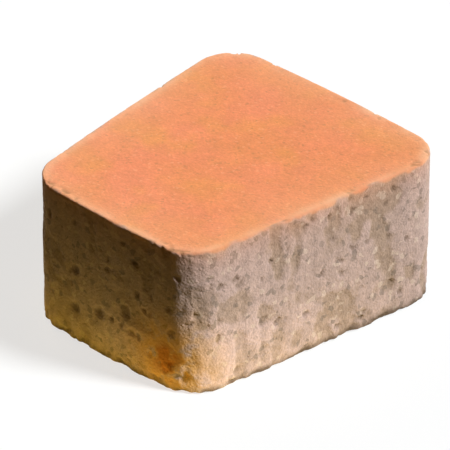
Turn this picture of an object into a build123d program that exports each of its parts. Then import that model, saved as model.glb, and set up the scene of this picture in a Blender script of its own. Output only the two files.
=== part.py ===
from build123d import *
import os

# Concrete paving stone: a small cobble-shaped paver, pressed from concrete as one piece.
#
# Seen from above it is a trapezoid whose four faces all bow outwards a little between rounded corners.
# The sides are straight up and down, the top edge is eased, and the bed face is flat with a plain edge.
#
# Frame, in millimetres: +Z up, origin in the middle of the bed face. The stone's length runs along Y,
# with the narrow end at -Y and the wide end at +Y.

# The straight-sided trapezoid round the plan, which each face touches at the middle of its bow.
LENGTH = 122.0
WIDE_END = 116.0
NARROW_END = 84.0
THICKNESS = 60.0

# How far each face stands out between its two corners.
END_BOW = 1.8
FLANK_BOW = 1.0

# Rounding of the upright corners, and the slight easing of the edge round the top face.
CORNER_RADIUS = 16.0
TOP_EDGE_RADIUS = 1.2


def cell_corners():
    """The corners of the straight-sided trapezoid, counter-clockwise from the narrow end's left."""
    back = LENGTH / 2
    return [
        Vector(-NARROW_END / 2, -back),
        Vector(NARROW_END / 2, -back),
        Vector(WIDE_END / 2, back),
        Vector(-WIDE_END / 2, back),
    ]


def set_back_lines(corners):
    """Each side of the trapezoid moved inwards by its face's bow, as a point on it and its direction."""
    bows = [END_BOW, FLANK_BOW, END_BOW, FLANK_BOW]
    lines = []
    for start, end, bow in zip(corners, corners[1:] + corners[:1], bows):
        along = (end - start).normalized()
        outward = along.cross(Vector(0, 0, 1))
        lines.append((start - outward * bow, along, outward * bow))
    return lines


def crossing(first, second):
    """Where two set-back lines meet."""
    (point_a, along_a, _), (point_b, along_b, _) = first, second
    step = (point_b - point_a).cross(along_b).Z / along_a.cross(along_b).Z
    return point_a + along_a * step


def plan_outline():
    """The stone's plan: one arc for each face, from corner to corner through the middle of its bow."""
    lines = set_back_lines(cell_corners())
    corners = [crossing(lines[side - 1], lines[side]) for side in range(len(lines))]
    arcs = []
    for start, end, (_, _, bow) in zip(corners, corners[1:] + corners[:1], lines):
        arcs.append(ThreePointArc(start, (start + end) / 2 + bow, end))
    plan = make_face(Curve() + arcs)
    return fillet(plan.vertices(), CORNER_RADIUS)


def paving_stone():
    """The pressed block, with its top edge eased."""
    block = extrude(plan_outline(), amount=THICKNESS)
    top_rim = block.faces().sort_by(Axis.Z)[-1].edges()
    return fillet(top_rim, TOP_EDGE_RADIUS)


stone = paving_stone()
stone.label = "paving_stone"
os.makedirs("parts", exist_ok=True)
export_step(stone, "parts/paving_stone.step")

size = stone.bounding_box().size
print(f"paving_stone {size.X:.1f} x {size.Y:.1f} x {size.Z:.1f} mm, {stone.volume:.0f} mm3")
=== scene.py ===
import math

import bpy
import numpy as np
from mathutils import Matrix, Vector


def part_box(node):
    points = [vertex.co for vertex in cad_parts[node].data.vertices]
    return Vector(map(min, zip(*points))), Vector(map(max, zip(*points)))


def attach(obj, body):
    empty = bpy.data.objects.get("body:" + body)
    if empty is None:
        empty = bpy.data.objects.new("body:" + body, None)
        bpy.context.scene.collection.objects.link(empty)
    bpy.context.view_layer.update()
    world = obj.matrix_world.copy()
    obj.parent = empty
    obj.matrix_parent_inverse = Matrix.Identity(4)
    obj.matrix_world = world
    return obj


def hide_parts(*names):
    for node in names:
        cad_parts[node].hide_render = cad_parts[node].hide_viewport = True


# Concrete paving stone: one pressed block with a thin terracotta facing on top and bare concrete sides.
# Lengths are in metres, or in millimetres where a heading says so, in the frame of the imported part: +Z up,
# origin in the middle of the bed face.

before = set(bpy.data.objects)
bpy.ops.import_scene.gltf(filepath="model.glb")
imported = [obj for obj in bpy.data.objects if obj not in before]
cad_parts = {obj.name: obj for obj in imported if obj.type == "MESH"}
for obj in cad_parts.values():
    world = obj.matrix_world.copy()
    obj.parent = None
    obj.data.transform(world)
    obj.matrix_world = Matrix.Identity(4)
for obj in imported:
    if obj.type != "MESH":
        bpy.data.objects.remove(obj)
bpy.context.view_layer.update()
stone_low, stone_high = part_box("paving_stone")

MM = 0.001

# The plan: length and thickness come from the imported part, the rest repeats its driving sizes.
LENGTH = stone_high.y - stone_low.y
THICKNESS = stone_high.z - stone_low.z
WIDE_END = 116.0 * MM
NARROW_END = 84.0 * MM
END_BOW = 1.8 * MM
FLANK_BOW = 1.0 * MM
CORNER_RADIUS = 16.0 * MM
TOP_EDGE_RADIUS = 1.2 * MM
BED_EDGE_RADIUS = 0.5 * MM

# How finely the surface is divided: along each end, along each flank, and down the side.
END_CELLS = 136
FLANK_CELLS = 170
TOP_EDGE_ROWS = 4
UPRIGHT_ROWS = 78
BED_EDGE_ROWS = 3

# How far from an edge the relief still leans over towards it.
EDGE_LEAN = 2.5 * MM

# Gap between the pieces of the surface's flat map.
MAP_GAP = 3.0 * MM

# The noise behind the relief: side of its repeating block of random numbers, how far each seed shifts it, in
# cells, and how many octaves the rough kind has.
LATTICE = 48
SEED_SHIFT = 0.37
OCTAVES = 3

# Grains of the bare concrete, in millimetres. Here and below, a bend is how far a form is pushed out of
# true, and its size is how far apart the bends lie. A dome's radius is in grain sizes. The lowest dome, and
# what shows through whole skin, are shares of the full height.
GRAIN_SIZE = 2.5
GRAIN_HEIGHT = 0.34
GRAIN_BEND = 0.8
GRAIN_BEND_SIZE = 2.8
DOME_RADIUS = 0.8
LOWEST_DOME = 0.4
SKIN_SHOW = 0.35

# Missing grains, in millimetres: their share, their depth, and how far from the bed edge they begin and have
# that depth.
MISSING_SHARE = 0.038
VOID_DEPTH = 0.75
VOID_START = 0.3
VOID_FULL = 2.0

# Torn patches of skin, in millimetres, with the levels of noise at which the skin starts to tear and is
# torn. Places are multiplied by the shape, so patches stand taller than they are wide.
PATCH_SIZE = 5.2
PATCH_DEPTH = 0.30
PATCH_SHAPE = (1, 1, 0.6)
PATCH_BEND = 2.5
PATCH_BEND_SIZE = 9.0
BROAD_PATCH_SIZE = 2.3 * PATCH_SIZE
BROAD_PATCH_SHARE = 0.7
FRAY_SIZE = 2.0
FRAY_SHARE = 0.25
TEAR_START = -0.15
TEAR_FULL = 0.60

# Cavities, in millimetres: the share of cells with one, radii in cells, and depth as a share of a ball's.
CAVITY_CELL = 9.0
CAVITY_SHARE = 0.11
CAVITY_SMALL = 0.10
CAVITY_LARGE = 0.28
CAVITY_DEPTH = 0.45
CAVITY_BEND = 1.6
CAVITY_BEND_SIZE = 2.6

# Larger voids on the narrow end, in millimetres: place along it, height and radius, and the depth of all.
END_VOIDS = ((-17.0, 14.0, 2.9), (-4.0, 18.0, 3.3), (9.0, 24.0, 3.3), (-16.0, 31.0, 2.4))
END_VOID_DEPTH = 1.1

# Painted shade inside hollows: how dark a missing grain's void is painted, and a cavity for each millimetre
# of its depth.
VOID_DARKNESS = 0.8
CAVITY_DARKNESS = 1.1

# Drag marks down the side, and the slow wave under them, in millimetres.
DRAG_WIDTH = 1.7
DRAG_LENGTH = 34.0
DRAG_DEPTH = 0.07
WAVE_LENGTH = 24.0
WAVE_DEPTH = 0.16

# Sand of the facing, in millimetres, and the level that it is sunk from. Pinholes come as cavities do, with
# more of them near the rim.
SAND_SIZE = 2.4
SAND_HEIGHT = 0.045
SAND_LEVEL = 1.6
PINHOLE_CELL = 5.2
PINHOLE_SHARE = 0.07
RIM_PINHOLE_SHARE = 0.30
RIM_PINHOLE_REACH = 3.5
PINHOLE_SMALL = 0.09
PINHOLE_LARGE = 0.16
PINHOLE_DEPTH = 0.4

# Bites out of the top edge and crumbs off the bed edge, in millimetres, with the levels of noise at which a
# bite starts and is full, and the most that counts for a crumb.
BITE_SIZE = 4.4
BITE_DEPTH = 0.7
BITE_REACH = 2.2
BITE_BEND = 1.2
BITE_BEND_SIZE = 2.2
BITE_START = 0.42
BITE_FULL = 1.05
CRUMB_SIZE = 5.5
CRUMB_DEPTH = 0.75
CRUMB_REACH = 3.0
CRUMB_MOST = 1.4

# Upward part of the normal at which the facing's relief sets in, has taken over, and marks a flat face.
FACING_START = 0.15
FACING_FULL = 0.95
FLAT_FACE = 0.999

# The facing ends this far below the edge, at a wavy and frayed border, and is smeared on below. Millimetres.
FACING_DEPTH = 0.8
BORDER_WAVE = 0.8
BORDER_WAVE_SIZE = 7.0
BORDER_FRAY = 0.6
BORDER_FRAY_SIZE = 2.2
BORDER_SOFTNESS = 0.9
SMEAR_LENGTH = 5.0
SMEAR_SHARE = 0.38

# The facing's rim is pale in patches, part wear and part painted highlight on the rounded edge, and for some
# way in the face is paler than in its middle. Millimetres.
RIM_WIDTH = 2.6
RIM_SHARE = 0.26
RIM_PATCHES = 0.9
RIM_PATCH_SIZE = 11.0
FADE_WIDTH = 12.0
FADE_SHARE = 0.24
FADE_PATCHES = 0.4
FADE_PATCH_SIZE = 16.0

# Depth at which a bite starts to be painted with shade, and is painted in full, in millimetres.
BITE_SHOW_START = 0.10
BITE_SHOW_FULL = 0.55

# Patchy painted shade reaches this far up and in from the foot, and lies in the crumbs. A fainter darkening
# reaches further. Millimetres.
FOOT_SHADE_REACH = 1.9
FOOT_SHADE_SHARE = 0.75
FOOT_SHADE_PATCHES = 0.5
FOOT_SHADE_PATCH_SIZE = 6.0
CRUMB_SHADE = 0.5
LOW_DARKENING_REACH = 7.0
LOW_DARKENING_SHARE = 0.15
LOW_DARKENING_PATCHES = 0.6
LOW_DARKENING_PATCH_SIZE = 9.0

# Rust low on the narrow end, beside the right-hand corner: a core in a weaker halo. Millimetres.
RUST_PLACE = (29.5, -60.0, 12.5)
RUST_CORE = 4.2
RUST_REACH = 15.0
RUST_HALO = 0.70
RUST_BEND = 2.0
RUST_BEND_SIZE = 5.0

# Pale patch low on the right-hand flank, beside the same corner, part bloom and part painted bounce light.
# Millimetres.
PALE_PATCH_PLACE = (38.0, -50.0, 17.0)
PALE_PATCH_REACH = 30.0
PALE_PATCH_SHARE = 0.65

# Patchy pale dust, which also carries painted bounce light, is full at one height and gone at another.
# Between two distances from the pale patch it thins out and the fainter darkening sets in. Millimetres.
DUST_FULL = 2.0
DUST_GONE = 34.0
DUST_SHARE = 0.55
DUST_PATCHES = 0.5
DUST_PATCH_SIZE = 12.0
THINNING_START = 5.0
THINNING_END = 110.0

# Colours, linear.
TERRACOTTA = (0.802, 0.298, 0.124)
TERRACOTTA_PINK = (0.832, 0.292, 0.144)
TERRACOTTA_OCHRE = (0.802, 0.318, 0.114)
# Pale sand grains, and the pale rim, which is part wear and part painted highlight.
FACE_RIM = (0.900, 0.560, 0.340)
CONCRETE_SKIN = (0.578, 0.421, 0.360)
CONCRETE_TORN = (0.463, 0.328, 0.245)
# Pale dust, which also stands for painted bounce light from the floor.
CONCRETE_DUST_AND_BOUNCE_LIGHT = (0.850, 0.635, 0.580)
STONE_CHIP_PALE = (0.740, 0.600, 0.480)
STONE_CHIP_DARK = (0.250, 0.200, 0.160)
# Dark sand grains of the facing, and painted shade inside bites and pinholes.
DARK_SAND_AND_HOLLOW_SHADE = (0.420, 0.215, 0.100)
# Painted shade for the inside of voids and cavities.
PAINTED_HOLLOW_SHADE = (0.200, 0.135, 0.085)
# Painted shade along the foot and in the crumbs, also used for the fainter darkening above it.
FOOT_SHADE = (0.110, 0.072, 0.040)
RUST_OCHRE = (0.900, 0.500, 0.110)
RUST_BROWN = (0.720, 0.285, 0.042)
WHITE = (1, 1, 1)

# Sizes of the colour's drifts, grains and streaks, and of the bump's sand. Places are multiplied by the
# streaks' shape, so streaks run down the side.
PINK_DRIFT = 30 * MM
OCHRE_DRIFT = 19 * MM
FACE_MOTTLE = 7 * MM
FACE_GRAIN = 0.9 * MM
FACE_SAND = 0.9 * MM
BARE_DRIFT = 14 * MM
CHIP_SIZE = 1.9 * MM
FINE_CHIP_SIZE = 0.8 * MM
STREAK_WIDTH = 2.4 * MM
STREAK_SHAPE = (1.0, 1.0, 0.08)
RUST_BLOTCH = 5 * MM
BUMP_GRAIN = 1.1 * MM
BUMP_SAND = 0.7 * MM
BUMP_DEPTH = 0.35 * MM
BUMP_STRENGTH = 0.7

# Ranges: as a value goes from the first number to the second, a share or a shade goes from the third to the
# fourth, or from 0 to 1 where there are only two.
PINK_RANGE = (0.40, 0.64)
OCHRE_RANGE = (0.50, 0.70)
MOTTLE_RANGE = (0.30, 0.70, 0.955, 1.045)
FACE_GRAIN_RANGE = (0.30, 0.70, 0.93, 1.06)
SAND_RANGE = (0.0, 1.0, 0.96, 1.05)
PALE_SAND_RANGE = (0.970, 0.975, 0.0, 0.16)
DARK_SAND_RANGE = (0.030, 0.025, 0.0, 0.22)
PINHOLE_RANGE = (0.1, 0.8, 0.0, 0.5)
DRIFT_RANGE = (0.32, 0.68, -0.25, 0.25)
TORN_RANGE = (0.0, 1.0)
DUST_RANGE = (0.0, 1.0, 0.60, 0.25)
CHIP_RANGE = (0.0, 1.0, 0.90, 1.09)
FINE_CHIP_RANGE = (0.0, 1.0, 0.92, 1.07)
PALE_CHIP_RANGE = (0.93, 0.94, 0.0, 0.45)
DARK_CHIP_RANGE = (0.07, 0.06, 0.0, 0.45)
STREAK_RANGE = (0.30, 0.70, 0.94, 1.06)
VOID_RANGE = (0.10, 0.80, 0.0, 0.60)
BITE_RANGE = (0.0, 1.0, 0.0, 0.6)
RUST_BLOTCH_RANGE = (0.25, 0.50)
OCHRE_RUST_RANGE = (0.0, 0.5, 0.0, 0.8)
BROWN_RUST_RANGE = (0.5, 1.0)
FOOT_SHADE_RANGE = (0.0, 1.0, 0.0, 0.85)
ROUGHNESS_RANGE = (0.30, 0.70, 0.86, 0.97)
BUMP_GRAIN_RANGE = (0.0, 0.7, 0.6, 0.0)
FACE_BUMP_RANGE = (0.0, 1.0, 1.0, 0.35)

# The dry, dull finish of the whole stone.
DIFFUSE_ROUGHNESS = 0.8
SPECULAR_LEVEL = 0.12


def plan_arcs():
    """The plan as eight arcs, corner and face by turns, counter-clockwise from the left of the narrow end.

    Each side of the straight trapezoid is set back by its bow; neighbouring lines cross at the sharp
    corners; each face is the arc through two corners that stands out by the bow between them; each corner is
    a circle of the corner radius that touches both face arcs from within. Points are complex, x + iy.
    """
    half = LENGTH / 2
    narrow, wide = NARROW_END / 2, WIDE_END / 2
    cell = np.array([-narrow - 1j * half, narrow - 1j * half, wide + 1j * half, -wide + 1j * half])
    bow = np.array([END_BOW, FLANK_BOW, END_BOW, FLANK_BOW])

    along = np.roll(cell, -1) - cell
    along /= np.abs(along)
    foot = cell + 1j * along * bow
    foot_before = np.roll(foot, 1)
    along_before = np.roll(along, 1)
    step = (np.conj(foot - foot_before) * along).imag / (np.conj(along_before) * along).imag
    corner = foot_before + along_before * step

    chord = np.roll(corner, -1) - corner
    outward = -1j * chord / np.abs(chord)
    face_radius = (np.abs(chord) ** 2 / 4 + bow ** 2) / (2 * bow)
    face_centre = corner + chord / 2 + outward * (bow - face_radius)

    centre_before = np.roll(face_centre, 1)
    reach_before = np.roll(face_radius, 1) - CORNER_RADIUS
    reach = face_radius - CORNER_RADIUS
    gap = face_centre - centre_before
    span = np.abs(gap)
    share = (span ** 2 + reach_before ** 2 - reach ** 2) / (2 * span)
    rise = np.sqrt(reach_before ** 2 - share ** 2)
    both = centre_before + gap / span * (share + np.array([[1j], [-1j]]) * rise)
    corner_centre = both[np.argmin(np.abs(both - corner), axis=0), np.arange(4)]

    centre = np.stack([corner_centre, face_centre], axis=1).ravel()
    radius = np.stack([np.full(4, CORNER_RADIUS), face_radius], axis=1).ravel()
    leave = np.angle(corner_centre - face_centre)
    reach_corner = np.angle(corner_centre - centre_before)
    start = np.stack([reach_corner, leave], axis=1).ravel()
    sweep = np.angle(np.exp(1j * (np.roll(start, -1) - start)))
    return centre, radius, start, sweep


def plan_loop(cells):
    """Points, outward directions and distances round the plan, evenly spaced from corner to corner.

    A distance round the loop picks its arc. The angle on the arc is the distance into it over its radius.
    """
    centre, radius, start, sweep = plan_arcs()
    length = radius * sweep
    end = np.cumsum(length)
    begin = end - length
    middle = begin[0::2] + length[0::2] / 2
    stops = np.append(middle, middle[0] + end[-1])
    run = np.concatenate([
        np.linspace(stops[side], stops[side + 1], cells[side], endpoint=False) for side in range(4)
    ])
    at = run % end[-1]
    arc = np.searchsorted(end, at, side="right")
    outward = np.exp(1j * (start[arc] + (at - begin[arc]) / radius[arc]))
    return centre[arc] + radius[arc] * outward, outward, np.append(run, stops[-1]) - stops[0]


def side_profile():
    """The section down the side, row by row: how far in from the plan, how high, and the surface's slope.

    The slope runs from 0, facing up, through a quarter turn on the upright to a half turn, facing down. The
    two edges are quarter circles. On both, the way in is the radius times one less the sine. The drop below
    the top face is the radius times one less the cosine, and the rise above the bed face is the radius times
    one plus the cosine.
    """
    top = np.linspace(0, math.pi / 2, TOP_EDGE_ROWS + 1)
    bed = np.linspace(math.pi / 2, math.pi, BED_EDGE_ROWS + 1)
    upright = np.linspace(THICKNESS - TOP_EDGE_RADIUS, BED_EDGE_RADIUS, UPRIGHT_ROWS + 1)[1:-1]
    slope = np.concatenate([top, np.full(len(upright), math.pi / 2), bed])
    inset = np.concatenate([
        TOP_EDGE_RADIUS * (1 - np.sin(top)), np.zeros(len(upright)), BED_EDGE_RADIUS * (1 - np.sin(bed)),
    ])
    height = np.concatenate([
        THICKNESS - TOP_EDGE_RADIUS * (1 - np.cos(top)), upright, BED_EDGE_RADIUS * (1 + np.cos(bed)),
    ])
    return inset, height, slope


def face_grid(rim, outward):
    """A flat grid inside a rim, squares inside squares, each a scaled copy of the rim.

    A grid point's ring is the larger of its two distances from the middle, and its place round the ring runs
    along the four sides of the square in the rim's own order. Returned with each point is how far inside the
    rim it lies, one less the ring times the distance from the middle to the rim's tangent there, and which
    way is outward at its place on the rim.
    """
    across, along = np.meshgrid(
        np.linspace(-1, 1, END_CELLS + 1), np.linspace(-1, 1, FLANK_CELLS + 1), indexing="ij",
    )
    ring = np.maximum(np.abs(across), np.abs(along))
    safe = np.where(ring > 0, ring, 1)
    u, v = across / safe, along / safe
    place = np.select(
        [v <= -1, u >= 1, v >= 1],
        [
            (u + 1) / 2 * END_CELLS,
            END_CELLS + (v + 1) / 2 * FLANK_CELLS,
            END_CELLS + FLANK_CELLS + (1 - u) / 2 * END_CELLS,
        ],
        2 * END_CELLS + FLANK_CELLS + (1 - v) / 2 * FLANK_CELLS,
    )
    stops = np.arange(len(rim) + 1)
    tangent = (rim * np.conj(outward)).real
    grid = ring * np.interp(place, stops, np.append(rim, rim[0]))
    inside = (1 - ring) * np.interp(place, stops, np.append(tangent, tangent[0]))
    return grid, inside, np.interp(place, stops, np.append(outward, outward[0]))


def grid_rim(index):
    """The outermost indices of a grid, counter-clockwise from its first corner."""
    return np.concatenate([index[:-1, 0], index[-1, :-1], index[:0:-1, -1], index[0, :0:-1]])


def grid_faces(index):
    """The four-cornered faces of a grid, facing up, each starting at a corner on the line to the middle."""
    faces = np.stack([index[:-1, :-1], index[1:, :-1], index[1:, 1:], index[:-1, 1:]], axis=-1)
    first, second = (np.arange(count) < count / 2 for count in faces.shape[:2])
    across = first[:, None] != second
    return np.where(across[..., None], np.roll(faces, -1, axis=-1), faces).reshape(-1, 4)


def surface_faces(grid_shape, row_shape):
    """The faces of the top grid, of the rows down the side and of the bed grid, all facing outwards."""
    grid_index = np.arange(math.prod(grid_shape)).reshape(grid_shape)
    row_index = grid_index.size + np.arange(math.prod(row_shape)).reshape(row_shape)
    bed_index = grid_index.size + row_index.size + grid_index
    rings = np.concatenate([grid_rim(grid_index)[None], row_index, grid_rim(bed_index)[None]])
    onward = np.roll(rings, -1, axis=1)
    side_faces = np.stack([rings[:-1], rings[1:], onward[1:], onward[:-1]], axis=-1).reshape(-1, 4)
    return grid_faces(grid_index), side_faces, grid_faces(bed_index)[:, [0, 3, 2, 1]]


def pressed_surface():
    """The stone's smooth surface: a grid for the top face, rows down the side, and a grid for the bed face.

    Returns the points, their outward normals, the directions that relief is sunk against, how far each point
    lies inside the edge of its flat face, the faces, and the flat layout of the faces' corners for the
    surface's own map. Far from an edge the relief's direction is the normal; towards an edge it leans over
    to the half-way line, so that deep relief doesn't fold the narrow rounding: the part that leans is e to
    the power of minus the distance over EDGE_LEAN.
    """
    cells = [END_CELLS, FLANK_CELLS, END_CELLS, FLANK_CELLS]
    plan, outward, run = plan_loop(cells)
    inset, height, slope = side_profile()
    row_height = height[1:-1]
    round_count = len(plan)

    top, top_inside, top_outward = face_grid(plan - outward * inset[0], outward)
    bed, bed_inside, bed_outward = face_grid(plan - outward * inset[-1], outward)
    rows = plan - outward * inset[1:-1, None]
    flat = np.concatenate([top.ravel(), rows.ravel(), bed.ravel()])
    inside = np.concatenate([top_inside.ravel(), np.zeros(rows.size), bed_inside.ravel()])
    level = np.concatenate([
        np.full(top.size, height[0]), np.repeat(row_height, round_count), np.full(bed.size, height[-1]),
    ])
    points = np.stack([flat.real, flat.imag, level], axis=1)

    tilt = np.repeat(slope[1:-1], round_count)
    facing = np.tile(outward, len(row_height))
    side_normal = np.stack([np.sin(tilt) * facing.real, np.sin(tilt) * facing.imag, np.cos(tilt)], axis=1)
    normals = np.concatenate([
        np.tile([0.0, 0.0, 1.0], (top.size, 1)), side_normal, np.tile([0.0, 0.0, -1.0], (bed.size, 1)),
    ])

    row_lean = np.exp((row_height - THICKNESS) / EDGE_LEAN) - np.exp(-row_height / EDGE_LEAN)
    level_part = np.concatenate([np.ones(top.size), np.repeat(row_lean, round_count), -np.ones(bed.size)])
    plan_part = np.concatenate([top_outward.ravel(), facing, bed_outward.ravel()])
    plan_part *= np.exp(-inside / EDGE_LEAN)
    lean_way = np.stack([plan_part.real, plan_part.imag, level_part], axis=1)
    lean_way /= np.linalg.norm(lean_way, axis=1)[:, None]

    top_faces, side_faces, bed_faces = surface_faces(top.shape, rows.shape)
    faces = np.concatenate([top_faces, side_faces, bed_faces])
    layout = np.concatenate([
        face_layout(flat[top_faces], 0),
        side_layout(run, cells, height),
        face_layout(-np.conj(flat[bed_faces]), 1),
    ]).ravel() / sheet_size()
    return points, normals, lean_way, inside, faces, np.stack([layout.real, layout.imag], axis=1)


def sheet_size():
    """Side of the square sheet that holds the flat map: the two faces above, two rows of sides below."""
    return LENGTH + 2 * MAP_GAP + 2 * side_row()


def side_row():
    """Height of one row of sides on the sheet."""
    return THICKNESS + 3 * MAP_GAP


def face_layout(corners, column):
    """Places a flat face's corners on the sheet, in the first or second column of its upper part."""
    reach = WIDE_END / 2 + MAP_GAP
    return corners + (1 + 2 * column) * reach + 1j * (sheet_size() - LENGTH / 2 - MAP_GAP)


def side_layout(run, cells, height):
    """Places the sides' corners on the sheet, two sides to a row: distance round the plan by depth."""
    depth = np.concatenate([[0], np.cumsum(np.hypot(np.diff(height), TOP_EDGE_RADIUS / TOP_EDGE_ROWS))])
    depth *= (THICKNESS + MAP_GAP) / depth[-1]
    first = np.concatenate([[0], np.cumsum(cells)])
    side = np.repeat(np.arange(4), cells)
    start = run[first[:-1]][side]
    past_first = run[first[1]] + MAP_GAP
    past_third = run[first[3]] - run[first[2]] + MAP_GAP
    shift = np.array([0, past_first, 0, past_third])[side] + MAP_GAP
    upper_line = np.array([2, 2, 1, 1])[side] * side_row() - MAP_GAP
    left = run[:-1] - start + shift
    right = run[1:] - start + shift
    upper = upper_line - depth[:-1, None]
    lower = upper_line - depth[1:, None]
    corners = [left + 1j * upper, left + 1j * lower, right + 1j * lower, right + 1j * upper]
    return np.stack(corners, axis=-1).reshape(-1, 4)


def ease_between(value, low, high):
    """0 below low, 1 above high, and 3t^2 - 2t^3 between."""
    t = np.clip((value - low) / (high - low), 0, 1)
    return t * t * (3 - 2 * t)


def bell(distance, reach):
    """1 at no distance, falling as e to the power of minus the squared distance over the squared reach."""
    return np.exp(-(distance / reach) ** 2)


def soft_noise(points, cell, seed):
    """Smooth noise from -1 to 1: random heights on a cubic lattice, eased from one point to the next.

    The ease between two lattice points is 6t^5 - 15t^4 + 10t^3.
    """
    heights = np.random.default_rng(seed).uniform(-1, 1, (LATTICE,) * 3)
    place = points / np.asarray(cell) + SEED_SHIFT * seed
    base = np.floor(place).astype(int)
    part = place - base
    ease = part ** 3 * (part * (part * 6 - 15) + 10)
    total = np.zeros(len(points))
    for corner in np.ndindex(2, 2, 2):
        weight = np.prod(np.where(corner, ease, 1 - ease), axis=1)
        total += weight * heights[tuple(((base + corner) % LATTICE).T)]
    return total


def rough_noise(points, cell, seed):
    """Soft noise added to itself at half the cell and half the height, octave by octave."""
    total = np.zeros(len(points))
    for octave in range(OCTAVES):
        total += soft_noise(points, np.asarray(cell) / 2 ** octave, seed + octave) / 2 ** octave
    return total


def bend(points, reach, cell, seed):
    """Points moved by soft noise, up to a reach in each direction, so that forms on them come out uneven."""
    return points + reach * np.stack([soft_noise(points, cell, seed + axis) for axis in range(3)], axis=1)


def lattice_marks(points, cell, seed):
    """For each of the 27 lattice cells round a point: how far off its mark is, in cells, and its numbers.

    One mark lies at a random place in each cell, with two random numbers of its own.
    """
    draw = np.random.default_rng(seed).random((LATTICE,) * 3 + (5,))
    place = points / cell
    home = np.floor(place).astype(int)
    for step in np.ndindex(3, 3, 3):
        at = home + step - 1
        spot = draw[tuple((at % LATTICE).T)]
        yield np.sqrt(np.sum((place - at - spot[:, :3]) ** 2, axis=1)), spot[:, 3], spot[:, 4]


def nearest_grain(points, cell, seed):
    """Distance to the nearest grain's middle, in cells, and that grain's own random number."""
    nearest = np.full(len(points), np.inf)
    number = np.zeros(len(points))
    for distance, own, _ in lattice_marks(points, cell, seed):
        closer = distance < nearest
        nearest = np.where(closer, distance, nearest)
        number = np.where(closer, own, number)
    return nearest, number


def hollows(points, cell, share, small, large, seed):
    """Depth of scattered hollows, in the points' unit: one to a lattice cell, in the share of cells given.

    Each is a ball of random radius, small to large in cells. Its depth at a point is its radius times one
    less the squared distance over the squared radius, and the deepest hollow counts.
    """
    depth = np.zeros(len(points))
    for distance, size, chance in lattice_marks(points, cell, seed):
        radius = small + (large - small) * size
        bowl = radius * (1 - (distance / radius) ** 2)
        depth = np.maximum(depth, np.where(chance < share, bowl, 0))
    return depth * cell


def torn_skin(at):
    """How far the concrete's skin is torn, from 0 to 1: noise that stands tall, eased between two levels.

    The noise is that of the patches, with a share of a broader one and a smaller share of fine fraying.
    """
    tall = bend(at, PATCH_BEND, PATCH_BEND_SIZE, seed=31) * PATCH_SHAPE
    patch = soft_noise(tall, PATCH_SIZE, seed=41)
    patch += BROAD_PATCH_SHARE * soft_noise(tall, BROAD_PATCH_SIZE, seed=42)
    patch += FRAY_SHARE * soft_noise(at, FRAY_SIZE, seed=43)
    return ease_between(patch, TEAR_START, TEAR_FULL)


def larger_voids(at):
    """The larger voids on the narrow end, up to 1: one less the squared distance over the squared radius."""
    deepest = np.zeros(len(at))
    for along, height, radius in END_VOIDS:
        away = np.linalg.norm(at - [along, -LENGTH / 2 / MM, height], axis=1)
        deepest = np.maximum(deepest, 1 - (away / radius) ** 2)
    return deepest


def bare_relief(at, inside):
    """Depth of the bare concrete's relief in millimetres, where its skin is torn, and the painted shade of
    its hollows.

    Grains are domes, one less the squared distance from a grain's middle over the squared radius, and stand
    clear where the skin over them is torn. A missing grain leaves its dome as a void, except near the bed
    edge. Cavities are uneven hollows. Fine drag marks run down the side, over a slow wave.
    """
    bent = bend(at, GRAIN_BEND, GRAIN_BEND_SIZE, seed=11)
    distance, number = nearest_grain(bent, GRAIN_SIZE, seed=21)
    dome = np.clip(1 - (distance / DOME_RADIUS) ** 2, 0, 1)
    missing = (number < MISSING_SHARE) * ease_between(at[:, 2] + inside, VOID_START, VOID_FULL)
    torn = torn_skin(at)

    uneven = bend(at, CAVITY_BEND, CAVITY_BEND_SIZE, seed=14)
    cavity = hollows(uneven, CAVITY_CELL, CAVITY_SHARE, CAVITY_SMALL, CAVITY_LARGE, seed=51)
    cavity *= CAVITY_DEPTH
    end_void = larger_voids(bent)
    drag = soft_noise(at, [DRAG_WIDTH, DRAG_WIDTH, DRAG_LENGTH], seed=61)
    wave = soft_noise(at, WAVE_LENGTH, seed=62)

    skin = SKIN_SHOW + (1 - SKIN_SHOW) * torn
    dome_height = LOWEST_DOME + (1 - LOWEST_DOME) * number
    relief = GRAIN_HEIGHT * skin * (1 - dome * dome_height) + PATCH_DEPTH * torn
    relief += VOID_DEPTH * dome * missing + cavity + END_VOID_DEPTH * end_void
    relief += DRAG_DEPTH * (drag + 1) + WAVE_DEPTH * (wave + 1)
    # Painted shade: voids, cavities and the larger end voids are darkened inside, more where they are
    # deeper.
    bare_hollow_shade = np.clip(VOID_DARKNESS * dome * missing + CAVITY_DARKNESS * cavity + end_void, 0, 1)
    return relief, torn, bare_hollow_shade


def facing_relief(at, inside):
    """Depth of the facing's relief, and of its pinholes alone. Millimetres.

    The relief is fine even sand, with hollows for pinholes. What the rim adds to their share falls off as e
    to the power of minus the distance in over a reach.
    """
    sand = rough_noise(at, SAND_SIZE, seed=71)
    share = PINHOLE_SHARE + RIM_PINHOLE_SHARE * np.exp(-inside / RIM_PINHOLE_REACH)
    pinhole = hollows(at, PINHOLE_CELL, share, PINHOLE_SMALL, PINHOLE_LARGE, seed=74)
    return SAND_HEIGHT * (sand + SAND_LEVEL) + PINHOLE_DEPTH * pinhole, pinhole


def edge_losses(at, inside):
    """How deep the top edge is bitten and the bed edge crumbled. Millimetres.

    Both are rough noise above a level, times a bell curve of the distance from the edge.
    """
    from_top = THICKNESS / MM - at[:, 2] + inside
    from_foot = at[:, 2] + inside
    uneven = bend(at, BITE_BEND, BITE_BEND_SIZE, seed=81)
    bite = ease_between(rough_noise(uneven, BITE_SIZE, seed=84), BITE_START, BITE_FULL)
    bite *= BITE_DEPTH * bell(from_top, BITE_REACH)
    crumb = np.clip(rough_noise(at, CRUMB_SIZE, seed=88), 0, CRUMB_MOST) * bell(from_foot, CRUMB_REACH)
    return bite, CRUMB_DEPTH * crumb


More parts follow.
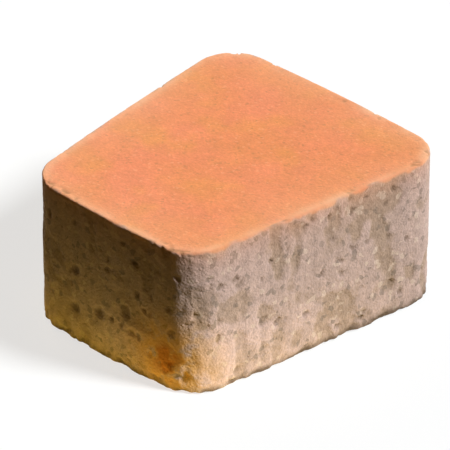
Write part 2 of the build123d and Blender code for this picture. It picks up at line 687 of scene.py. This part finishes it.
def facing_marks(at, inside, facing_up):
    """Where the facing shows, and how pale it is.

    The facing eases out at its border, which is measured down the side from the edge, and on the top face
    inwards from it as a negative depth. Below the border the smear falls off as e to the power of minus the
    depth over its length. The rim is a bell curve of the distance from the edge; the fade falls off as e to
    the power of minus that distance over its width; noise makes both patchy.
    """
    below = THICKNESS / MM - at[:, 2]
    border = FACING_DEPTH + BORDER_WAVE * soft_noise(at, BORDER_WAVE_SIZE, seed=91)
    border += BORDER_FRAY * soft_noise(at, BORDER_FRAY_SIZE, seed=92)
    face = 1 - ease_between(below - facing_up * inside, border - BORDER_SOFTNESS, border + BORDER_SOFTNESS)
    smear = SMEAR_SHARE * np.exp(-np.clip(below - border, 0, None) / SMEAR_LENGTH)

    from_edge = below + inside
    rim = RIM_SHARE * bell(from_edge, RIM_WIDTH)
    rim *= 1 + RIM_PATCHES * rough_noise(at, RIM_PATCH_SIZE, seed=93)
    fade = FADE_SHARE * np.exp(-from_edge / FADE_WIDTH)
    fade *= 1 + FADE_PATCHES * soft_noise(at, FADE_PATCH_SIZE, seed=94)
    return {"face": np.maximum(face, smear), "rim": rim + fade}


def foot_marks(at, inside, crumb):
    """Dust and a pale patch, partly painted bounce light; painted shade and a darkening; and rust, low on
    the stone.

    The pale patch, the painted shade, the darkening and both parts of the rust are bell curves: of the
    distance from the patch's place, of that from the foot, and of that from the rust's place. Dust eases out
    with height, and along the foot it eases out, and the darkening in, with the distance from the patch.
    Noise makes the dust, the painted shade and the darkening patchy and bends the rust.
    """
    height = at[:, 2]
    from_foot = height + inside
    from_pale_patch = np.linalg.norm(at - PALE_PATCH_PLACE, axis=1)
    far = ease_between(from_pale_patch, THINNING_START, THINNING_END)

    # Paler towards the foot and beside the front corner: part dust and bloom, part painted bounce light.
    dust_and_bounce_light = ease_between(-height, -DUST_GONE, -DUST_FULL)
    dust_and_bounce_light *= DUST_SHARE + DUST_PATCHES * soft_noise(at, DUST_PATCH_SIZE, seed=99)
    dust_and_bounce_light = dust_and_bounce_light * (1 - far) + PALE_PATCH_SHARE * bell(from_pale_patch, PALE_PATCH_REACH)

    # Painted shade: a dark line along the foot, and in the crumbs.
    foot_shade_and_darkening = bell(from_foot, FOOT_SHADE_REACH)
    foot_shade_and_darkening *= FOOT_SHADE_SHARE + FOOT_SHADE_PATCHES * rough_noise(at, FOOT_SHADE_PATCH_SIZE, seed=101)
    foot_shade_and_darkening += CRUMB_SHADE * crumb
    # A fainter darkening low down, away from the pale patch.
    low_darkening = bell(from_foot, LOW_DARKENING_REACH) * far
    foot_shade_and_darkening += LOW_DARKENING_SHARE * low_darkening * (1 + LOW_DARKENING_PATCHES * soft_noise(at, LOW_DARKENING_PATCH_SIZE, seed=104))

    from_rust = np.linalg.norm(bend(at, RUST_BEND, RUST_BEND_SIZE, seed=96) - RUST_PLACE, axis=1)
    rust = RUST_HALO * bell(from_rust, RUST_REACH) + bell(from_rust, RUST_CORE)
    return {"dust_and_bounce_light": dust_and_bounce_light, "foot_shade_and_darkening": foot_shade_and_darkening, "rust": rust}


def worn_surface(points, normals, lean_way, inside):
    """The stone's surface with its relief sunk in, and the marks that colour it, each held from 0 to 1.

    A point moves against its own direction by the depth of the relief and of the losses at the edges. As the
    normal tips up, the bare concrete's relief eases over into the facing's. On each flat face the least
    depth is then taken off all of it, so that its outermost point keeps its height.
    """
    at = points / MM
    inside = inside / MM
    facing_up = ease_between(normals[:, 2], FACING_START, FACING_FULL)

    bare, torn, bare_hollow_shade = bare_relief(at, inside)
    facing, pinhole = facing_relief(at, inside)
    bite, crumb = edge_losses(at, inside)
    depth = (1 - facing_up) * bare + facing_up * facing + bite + crumb
    for flat in (normals[:, 2] > FLAT_FACE, normals[:, 2] < -FLAT_FACE):
        depth[flat] -= depth[flat].min()
    moved = points - lean_way * (depth * MM)[:, None]

    marks = {
        **facing_marks(at, inside, facing_up),
        # Bites are painted with shade by their depth.
        "bite": ease_between(bite, BITE_SHOW_START, BITE_SHOW_FULL),
        "torn": torn,
        # Painted shade inside the bare concrete's hollows and the facing's pinholes.
        "hollow_shade": (1 - facing_up) * bare_hollow_shade + facing_up * pinhole,
        **foot_marks(at, inside, crumb),
    }
    return moved, {name: np.clip(value, 0, 1) for name, value in marks.items()}


def make_stone():
    """The one piece: its surface put into a mesh, with its marks and its own flat map."""
    points, normals, lean_way, inside, faces, layout = pressed_surface()
    moved, marks = worn_surface(points, normals, lean_way, inside)
    mesh = bpy.data.meshes.new("pressed_stone")
    mesh.vertices.add(len(moved))
    mesh.vertices.foreach_set("co", moved.astype(np.float32).ravel())
    mesh.loops.add(faces.size)
    mesh.loops.foreach_set("vertex_index", faces.astype(np.int32).ravel())
    mesh.polygons.add(len(faces))
    mesh.polygons.foreach_set("loop_start", np.arange(0, faces.size, 4, dtype=np.int32))
    mesh.update(calc_edges=True)
    mesh.polygons.foreach_set("use_smooth", np.ones(len(faces), bool))
    for name, value in marks.items():
        layer = mesh.attributes.new(name, "FLOAT", "POINT")
        layer.data.foreach_set("value", value.astype(np.float32))
    flat_map = mesh.uv_layers.new(name="OFBake")
    flat_map.data.foreach_set("uv", layout.astype(np.float32).ravel())
    mesh.validate()
    stone = bpy.data.objects.new("pressed_stone", mesh)
    bpy.context.scene.collection.objects.link(stone)
    return stone


def add_node(tree, kind, sockets=None, **settings):
    """Adds a node, sets its settings, and fills sockets by name with a value or another node's output."""
    made = tree.nodes.new(kind)
    for name, value in settings.items():
        setattr(made, name, value)
    for name, value in (sockets or {}).items():
        if isinstance(value, bpy.types.NodeSocket):
            tree.links.new(value, made.inputs[name])
        else:
            made.inputs[name].default_value = value
    return made


def mix_colour(tree, share, first, second, how="MIX"):
    """Mixes two colours, each a value or an output, by a share.

    A mix node has sockets of the same names for each kind of value. Of its inputs, 0, 6 and 7 are the share
    and the two colours; of its outputs, 2 is the colour.
    """
    made = add_node(tree, "ShaderNodeMix", data_type="RGBA", blend_type=how)
    for socket, value in ((0, share), (6, first), (7, second)):
        if isinstance(value, bpy.types.NodeSocket):
            tree.links.new(value, made.inputs[socket])
        else:
            made.inputs[socket].default_value = (*value, 1) if socket else value
    return made.outputs[2]


def ranged(tree, value, low, high, to_low=0.0, to_high=1.0):
    """A value taken from low..high to to_low..to_high, and held there."""
    made = add_node(tree, "ShaderNodeMapRange", {
        "Value": value, "From Min": low, "From Max": high, "To Min": to_low, "To Max": to_high,
    })
    return made.outputs[0]


def maths(tree, how, first, second):
    """One sum of two values or outputs."""
    made = add_node(tree, "ShaderNodeMath", {0: first, 1: second}, operation=how)
    return made.outputs[0]


def noise(tree, place, size, detail=2.0, rough=0.5):
    """Noise whose largest lumps are about the given size, from 0 to 1."""
    made = add_node(tree, "ShaderNodeTexNoise", {
        "Vector": place, "Scale": 1 / size, "Detail": detail, "Roughness": rough,
    })
    return made.outputs[0]


def grains(tree, place, size):
    """Grains of about the given size: a random number for each, and the distance from its middle."""
    made = add_node(tree, "ShaderNodeTexVoronoi", {"Vector": place, "Scale": 1 / size})
    parts = add_node(tree, "ShaderNodeSeparateColor", {"Color": made.outputs["Color"]})
    return parts.outputs[0], made.outputs["Distance"]


def shade(tree, colour, amount):
    """Multiplies a colour by an amount that is the same for red, green and blue."""
    grey = add_node(tree, "ShaderNodeCombineColor", {"Red": amount, "Green": amount, "Blue": amount})
    return mix_colour(tree, 1.0, colour, grey.outputs[0], "MULTIPLY")


def mark(tree, name):
    """One of the stone's own marks, from 0 to 1."""
    return add_node(tree, "ShaderNodeAttribute", attribute_name=name).outputs["Fac"]


def facing_colour(tree, place, face_grain):
    """Terracotta that drifts to pink and to ochre, with a fine grain, pale and dark sand, a pale rim that is
    part wear and part painted highlight, and painted shade in its pinholes.
    """
    pink = ranged(tree, noise(tree, place, PINK_DRIFT), *PINK_RANGE)
    ochre = ranged(tree, noise(tree, place, OCHRE_DRIFT, detail=3.0), *OCHRE_RANGE)
    mottle = noise(tree, place, FACE_MOTTLE, detail=3.0, rough=0.6)
    sand, _ = grains(tree, place, FACE_SAND)

    colour = mix_colour(tree, pink, TERRACOTTA, TERRACOTTA_PINK)
    colour = mix_colour(tree, ochre, colour, TERRACOTTA_OCHRE)
    colour = shade(tree, colour, ranged(tree, mottle, *MOTTLE_RANGE))
    colour = shade(tree, colour, ranged(tree, face_grain, *FACE_GRAIN_RANGE))
    colour = shade(tree, colour, ranged(tree, sand, *SAND_RANGE))
    colour = mix_colour(tree, ranged(tree, sand, *PALE_SAND_RANGE), colour, FACE_RIM)
    colour = mix_colour(tree, ranged(tree, sand, *DARK_SAND_RANGE), colour, DARK_SAND_AND_HOLLOW_SHADE)
    # The pale rim: part wear, part painted highlight on the rounded edge.
    colour = mix_colour(tree, mark(tree, "rim"), colour, FACE_RIM)
    # Painted shade inside pinholes, in the dark sand's colour.
    return mix_colour(tree, ranged(tree, mark(tree, "hollow_shade"), *PINHOLE_RANGE), colour, DARK_SAND_AND_HOLLOW_SHADE)


def bare_colour(tree, place):
    """Sandy concrete: pale skin, darker torn patches, dust with painted bounce light, stone chips, streaks
    and painted shade in voids.
    """
    drift = ranged(tree, noise(tree, place, BARE_DRIFT, detail=3.0, rough=0.6), *DRIFT_RANGE)
    torn = maths(tree, "ADD", mark(tree, "torn"), drift)
    dust_and_bounce_light = maths(tree, "MULTIPLY", mark(tree, "dust_and_bounce_light"), ranged(tree, torn, *DUST_RANGE))
    chip, _ = grains(tree, place, CHIP_SIZE)
    fine_chip, _ = grains(tree, place, FINE_CHIP_SIZE)
    streaks = add_node(tree, "ShaderNodeMapping", {"Vector": place, "Scale": STREAK_SHAPE}).outputs[0]

    colour = mix_colour(tree, ranged(tree, torn, *TORN_RANGE), CONCRETE_SKIN, CONCRETE_TORN)
    # Dust with painted bounce light, paler low down.
    colour = mix_colour(tree, dust_and_bounce_light, colour, CONCRETE_DUST_AND_BOUNCE_LIGHT)
    colour = shade(tree, colour, ranged(tree, chip, *CHIP_RANGE))
    colour = shade(tree, colour, ranged(tree, fine_chip, *FINE_CHIP_RANGE))
    colour = mix_colour(tree, ranged(tree, chip, *PALE_CHIP_RANGE), colour, STONE_CHIP_PALE)
    colour = mix_colour(tree, ranged(tree, chip, *DARK_CHIP_RANGE), colour, STONE_CHIP_DARK)
    colour = shade(tree, colour, ranged(tree, noise(tree, streaks, STREAK_WIDTH), *STREAK_RANGE))
    # Painted shade inside voids and cavities.
    return mix_colour(tree, ranged(tree, mark(tree, "hollow_shade"), *VOID_RANGE), colour, PAINTED_HOLLOW_SHADE)


def pressed_concrete():
    """The stone's one material: terracotta facing over bare concrete, with bites painted with shade, rust,
    painted shade along the foot, and bump.
    """
    material = bpy.data.materials.new("pressed_concrete")
    material.use_nodes = True
    tree = material.node_tree
    shader = tree.nodes["Principled BSDF"]
    place = add_node(tree, "ShaderNodeTexCoord").outputs["Object"]
    face = mark(tree, "face")
    face_grain = noise(tree, place, FACE_GRAIN, detail=3.0, rough=0.6)

    colour = mix_colour(tree, face, bare_colour(tree, place), facing_colour(tree, place, face_grain))
    # Painted shade inside the bites of the top edge.
    colour = mix_colour(tree, ranged(tree, mark(tree, "bite"), *BITE_RANGE), colour, DARK_SAND_AND_HOLLOW_SHADE)
    blotch = ranged(tree, noise(tree, place, RUST_BLOTCH, detail=3.0), *RUST_BLOTCH_RANGE)
    rust = maths(tree, "MULTIPLY", mark(tree, "rust"), blotch)
    colour = mix_colour(tree, ranged(tree, rust, *OCHRE_RUST_RANGE), colour, RUST_OCHRE)
    colour = mix_colour(tree, ranged(tree, rust, *BROWN_RUST_RANGE), colour, RUST_BROWN)
    # Painted shade along the foot and in the crumbs, with the fainter darkening.
    colour = mix_colour(tree, ranged(tree, mark(tree, "foot_shade_and_darkening"), *FOOT_SHADE_RANGE), colour, FOOT_SHADE)
    tree.links.new(colour, shader.inputs["Base Color"])
    tree.links.new(ranged(tree, face_grain, *ROUGHNESS_RANGE), shader.inputs["Roughness"])
    shader.inputs["Diffuse Roughness"].default_value = DIFFUSE_ROUGHNESS
    shader.inputs["Specular IOR Level"].default_value = SPECULAR_LEVEL

    _, from_middle = grains(tree, place, BUMP_GRAIN)
    fine_sand = noise(tree, place, BUMP_SAND, detail=3.0, rough=0.6)
    sand = maths(tree, "ADD", ranged(tree, from_middle, *BUMP_GRAIN_RANGE), fine_sand)
    depth = maths(tree, "MULTIPLY", sand, ranged(tree, face, *FACE_BUMP_RANGE))
    bump = add_node(tree, "ShaderNodeBump", {
        "Strength": BUMP_STRENGTH, "Distance": BUMP_DEPTH, "Height": depth,
    })
    tree.links.new(bump.outputs[0], shader.inputs["Normal"])
    return material


stone = make_stone()
stone.data.materials.append(pressed_concrete())
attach(stone, "root")
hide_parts("paving_stone")


# The stage: a pale floor, white beyond it, a soft key from the right, a weak lamp from behind on the left,
# a dim warm fill all round, and a warm glow off the floor by the stone, which fades towards the wide end.
FLOOR_HALF = 6.0
FLOOR_DROP = 0.1 * MM
FLOOR_GLOW = 0.68
FILL = (0.052, 0.032, 0.005)
FLOOR_BOUNCE = (0.06, 0.04, 0.008)
NEAR_PAINT = (0.85, 0.72, 0.40)
NEAR_GLOW = (0.96, 0.72, 0.075)
NEAR_START = 70 * MM
NEAR_END = 112 * MM
GLOW_BACK = 60 * MM
GLOW_FRONT = -50 * MM

KEY_COLOUR = (0.93, 0.97, 1.0)
KEY_STRENGTH = 4.33
KEY_SOFTNESS = math.radians(13)
KEY_AZIMUTH = math.radians(115)
KEY_ELEVATION = math.radians(43.5)
SIDE_COLOUR = (1.0, 0.84, 0.60)
SIDE_STRENGTH = 0.9
SIDE_SOFTNESS = math.radians(40)
SIDE_AZIMUTH = math.radians(252)
SIDE_ELEVATION = math.radians(24)


def towards(azimuth, elevation):
    """The direction from the stone at an azimuth and an elevation: azimuth 0 is -Y, a quarter turn is +X."""
    return Vector((
        math.sin(azimuth) * math.cos(elevation),
        -math.cos(azimuth) * math.cos(elevation),
        math.sin(elevation),
    ))


def seen_directly(tree):
    """1 for rays from the camera, from gloss or through glass, else 0."""
    path = add_node(tree, "ShaderNodeLightPath")
    gloss = maths(tree, "MAXIMUM", path.outputs["Is Glossy Ray"], path.outputs["Is Transmission Ray"])
    return maths(tree, "MAXIMUM", path.outputs["Is Camera Ray"], gloss)


def pale_floor():
    """A flat square under the stone. Seen directly, it is part glow and part paint, and keeps a soft shadow.

    What it sends back to the stone is a dim bounce, with a warm glow close to the stone that fades outwards
    and towards the wide end.
    """
    corner = np.array([[-1, -1], [1, -1], [1, 1], [-1, 1]]) * FLOOR_HALF
    points = np.column_stack([corner, np.full(4, -FLOOR_DROP)])
    mesh = bpy.data.meshes.new("floor")
    mesh.from_pydata(points.tolist(), [], [[0, 1, 2, 3]])
    material = bpy.data.materials.new("pale_floor")
    material.use_nodes = True
    tree = material.node_tree
    tree.nodes.remove(tree.nodes["Principled BSDF"])

    paint = add_node(tree, "ShaderNodeBsdfDiffuse", {"Color": (*WHITE, 1)}).outputs[0]
    white = add_node(tree, "ShaderNodeEmission", {"Color": (*WHITE, 1), "Strength": 1.0}).outputs[0]
    seen = add_node(tree, "ShaderNodeMixShader", {0: FLOOR_GLOW, 1: paint, 2: white}).outputs[0]

    place = add_node(tree, "ShaderNodeTexCoord").outputs["Object"]
    away = add_node(tree, "ShaderNodeVectorMath", {0: place}, operation="LENGTH").outputs["Value"]
    along = add_node(tree, "ShaderNodeSeparateXYZ", {"Vector": place}).outputs["Y"]
    near = ranged(tree, away, NEAR_START, NEAR_END, 1.0, 0.0)
    near = maths(tree, "MULTIPLY", near, ranged(tree, along, GLOW_BACK, GLOW_FRONT))
    glow = add_node(tree, "ShaderNodeEmission", {"Color": (*NEAR_GLOW, 1), "Strength": near}).outputs[0]
    back_colour = mix_colour(tree, near, FLOOR_BOUNCE, NEAR_PAINT)
    paint_back = add_node(tree, "ShaderNodeBsdfDiffuse", {"Color": back_colour}).outputs[0]
    bounce = add_node(tree, "ShaderNodeAddShader", {0: paint_back, 1: glow}).outputs[0]

    surface = add_node(tree, "ShaderNodeMixShader", {0: seen_directly(tree), 1: bounce, 2: seen}).outputs[0]
    tree.links.new(surface, tree.nodes["Material Output"].inputs["Surface"])
    mesh.materials.append(material)
    floor = bpy.data.objects.new("floor", mesh)
    bpy.context.scene.collection.objects.link(floor)


def add_sun(name, colour, strength, softness, azimuth, elevation):
    """A lamp so far off that its light comes evenly from one direction, spread by its softness."""
    lamp = bpy.data.lights.new(name, "SUN")
    lamp.energy = strength
    lamp.angle = softness
    lamp.color = colour
    sun = bpy.data.objects.new(name, lamp)
    sun.rotation_mode = "QUATERNION"
    sun.rotation_quaternion = towards(azimuth, elevation).to_track_quat("Z", "Y")
    bpy.context.scene.collection.objects.link(sun)


def surround():
    """White all round where it is seen, and a dim warm fill for what it lights."""
    world = bpy.data.worlds.new("studio")
    bpy.context.scene.world = world
    world.use_nodes = True
    tree = world.node_tree
    background = tree.nodes["Background"]
    tree.links.new(mix_colour(tree, seen_directly(tree), FILL, WHITE), background.inputs["Color"])
    background.inputs["Strength"].default_value = 1.0


# The camera. Its lens and its sensor are in millimetres.
CAMERA_AZIMUTH = math.radians(44.5)
CAMERA_ELEVATION = math.radians(32.1)
CAMERA_DISTANCE = 1.88
CAMERA_LENS = 411
CAMERA_SENSOR = 36
CAMERA_FAR = 50
CAMERA_AIM = Vector((0, 0, THICKNESS / 2))


def place_camera():
    """A long lens at the photograph's angle, aimed at the middle of the stone."""
    camera = bpy.data.objects.new("camera", bpy.data.cameras.new("camera"))
    camera.data.lens = CAMERA_LENS
    camera.data.sensor_width = CAMERA_SENSOR
    camera.data.clip_end = CAMERA_FAR
    back = towards(CAMERA_AZIMUTH, CAMERA_ELEVATION)
    camera.location = CAMERA_AIM + back * CAMERA_DISTANCE
    camera.rotation_mode = "QUATERNION"
    camera.rotation_quaternion = (-back).to_track_quat("-Z", "Y")
    bpy.context.scene.collection.objects.link(camera)
    bpy.context.scene.camera = camera


pale_floor()
surround()
add_sun("key", KEY_COLOUR, KEY_STRENGTH, KEY_SOFTNESS, KEY_AZIMUTH, KEY_ELEVATION)
add_sun("side", SIDE_COLOUR, SIDE_STRENGTH, SIDE_SOFTNESS, SIDE_AZIMUTH, SIDE_ELEVATION)
place_camera()
bpy.context.scene.view_settings.view_transform = "Standard"
